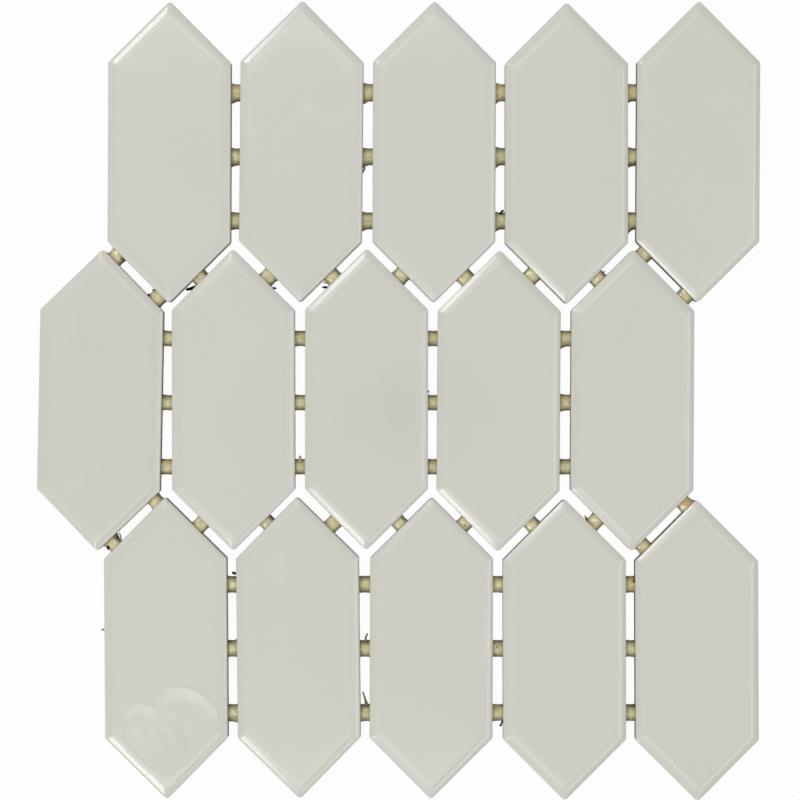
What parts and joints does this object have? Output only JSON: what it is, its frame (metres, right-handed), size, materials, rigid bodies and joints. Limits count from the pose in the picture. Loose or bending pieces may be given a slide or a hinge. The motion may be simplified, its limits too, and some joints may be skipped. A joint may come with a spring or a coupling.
{
  "type": "dot-mounted picket mosaic tile sheet",
  "caption": "Flat sheet of pointed, long six-sided glazed ceramic wall tiles, joined edge to edge by small plastic dots, ready to bed in adhesive and grout.",
  "frame": {"origin": "under the middle of the sheet, on the plane of the tiles' backs", "axes": "+X across the tiles to the right of the picture, +Y along the tiles to the top of the picture, +Z out of the glazed face"},
  "size_m": [0.2822, 0.3114, 0.007],
  "materials": {
    "glaze": "warm light grey gloss glaze over a fired body, unglazed on the back",
    "dot_plastic": "beige, slightly translucent moulded plastic, satin to glossy"
  },
  "bodies": {
    "root": {"tile_1_1": "glaze", "tile_1_2": "glaze", "tile_1_3": "glaze", "tile_1_4": "glaze", "tile_1_5": "glaze", "tile_2_1": "glaze", "tile_2_2": "glaze", "tile_2_3": "glaze", "tile_2_4": "glaze", "tile_2_5": "glaze", "tile_3_1": "glaze", "tile_3_2": "glaze", "tile_3_3": "glaze", "tile_3_4": "glaze", "tile_3_5": "glaze", "side_dot_1_1_1": "dot_plastic", "side_dot_1_1_2": "dot_plastic", "side_dot_1_1_3": "dot_plastic", "side_dot_1_2_1": "dot_plastic", "side_dot_1_2_2": "dot_plastic", "side_dot_1_2_3": "dot_plastic", "side_dot_1_3_1": "dot_plastic", "side_dot_1_3_2": "dot_plastic", "side_dot_1_3_3": "dot_plastic", "side_dot_1_4_1": "dot_plastic", "side_dot_1_4_2": "dot_plastic", "side_dot_1_4_3": "dot_plastic", "side_dot_2_1_1": "dot_plastic", "side_dot_2_1_2": "dot_plastic", "side_dot_2_1_3": "dot_plastic", "side_dot_2_2_1": "dot_plastic", "side_dot_2_2_2": "dot_plastic", "side_dot_2_2_3": "dot_plastic", "side_dot_2_3_1": "dot_plastic", "side_dot_2_3_2": "dot_plastic", "side_dot_2_3_3": "dot_plastic", "side_dot_2_4_1": "dot_plastic", "side_dot_2_4_2": "dot_plastic", "side_dot_2_4_3": "dot_plastic", "side_dot_3_1_1": "dot_plastic", "side_dot_3_1_2": "dot_plastic", "side_dot_3_1_3": "dot_plastic", "side_dot_3_2_1": "dot_plastic", "side_dot_3_2_2": "dot_plastic", "side_dot_3_2_3": "dot_plastic", "side_dot_3_3_1": "dot_plastic", "side_dot_3_3_2": "dot_plastic", "side_dot_3_3_3": "dot_plastic", "side_dot_3_4_1": "dot_plastic", "side_dot_3_4_2": "dot_plastic", "side_dot_3_4_3": "dot_plastic", "end_dot_upper_left_1": "dot_plastic", "end_dot_upper_left_2": "dot_plastic", "end_dot_upper_right_1": "dot_plastic", "end_dot_upper_right_2": "dot_plastic", "end_dot_lower_left_1": "dot_plastic", "end_dot_lower_left_2": "dot_plastic", "end_dot_lower_right_1": "dot_plastic", "end_dot_lower_right_2": "dot_plastic"}
  },
  "joints": []
}
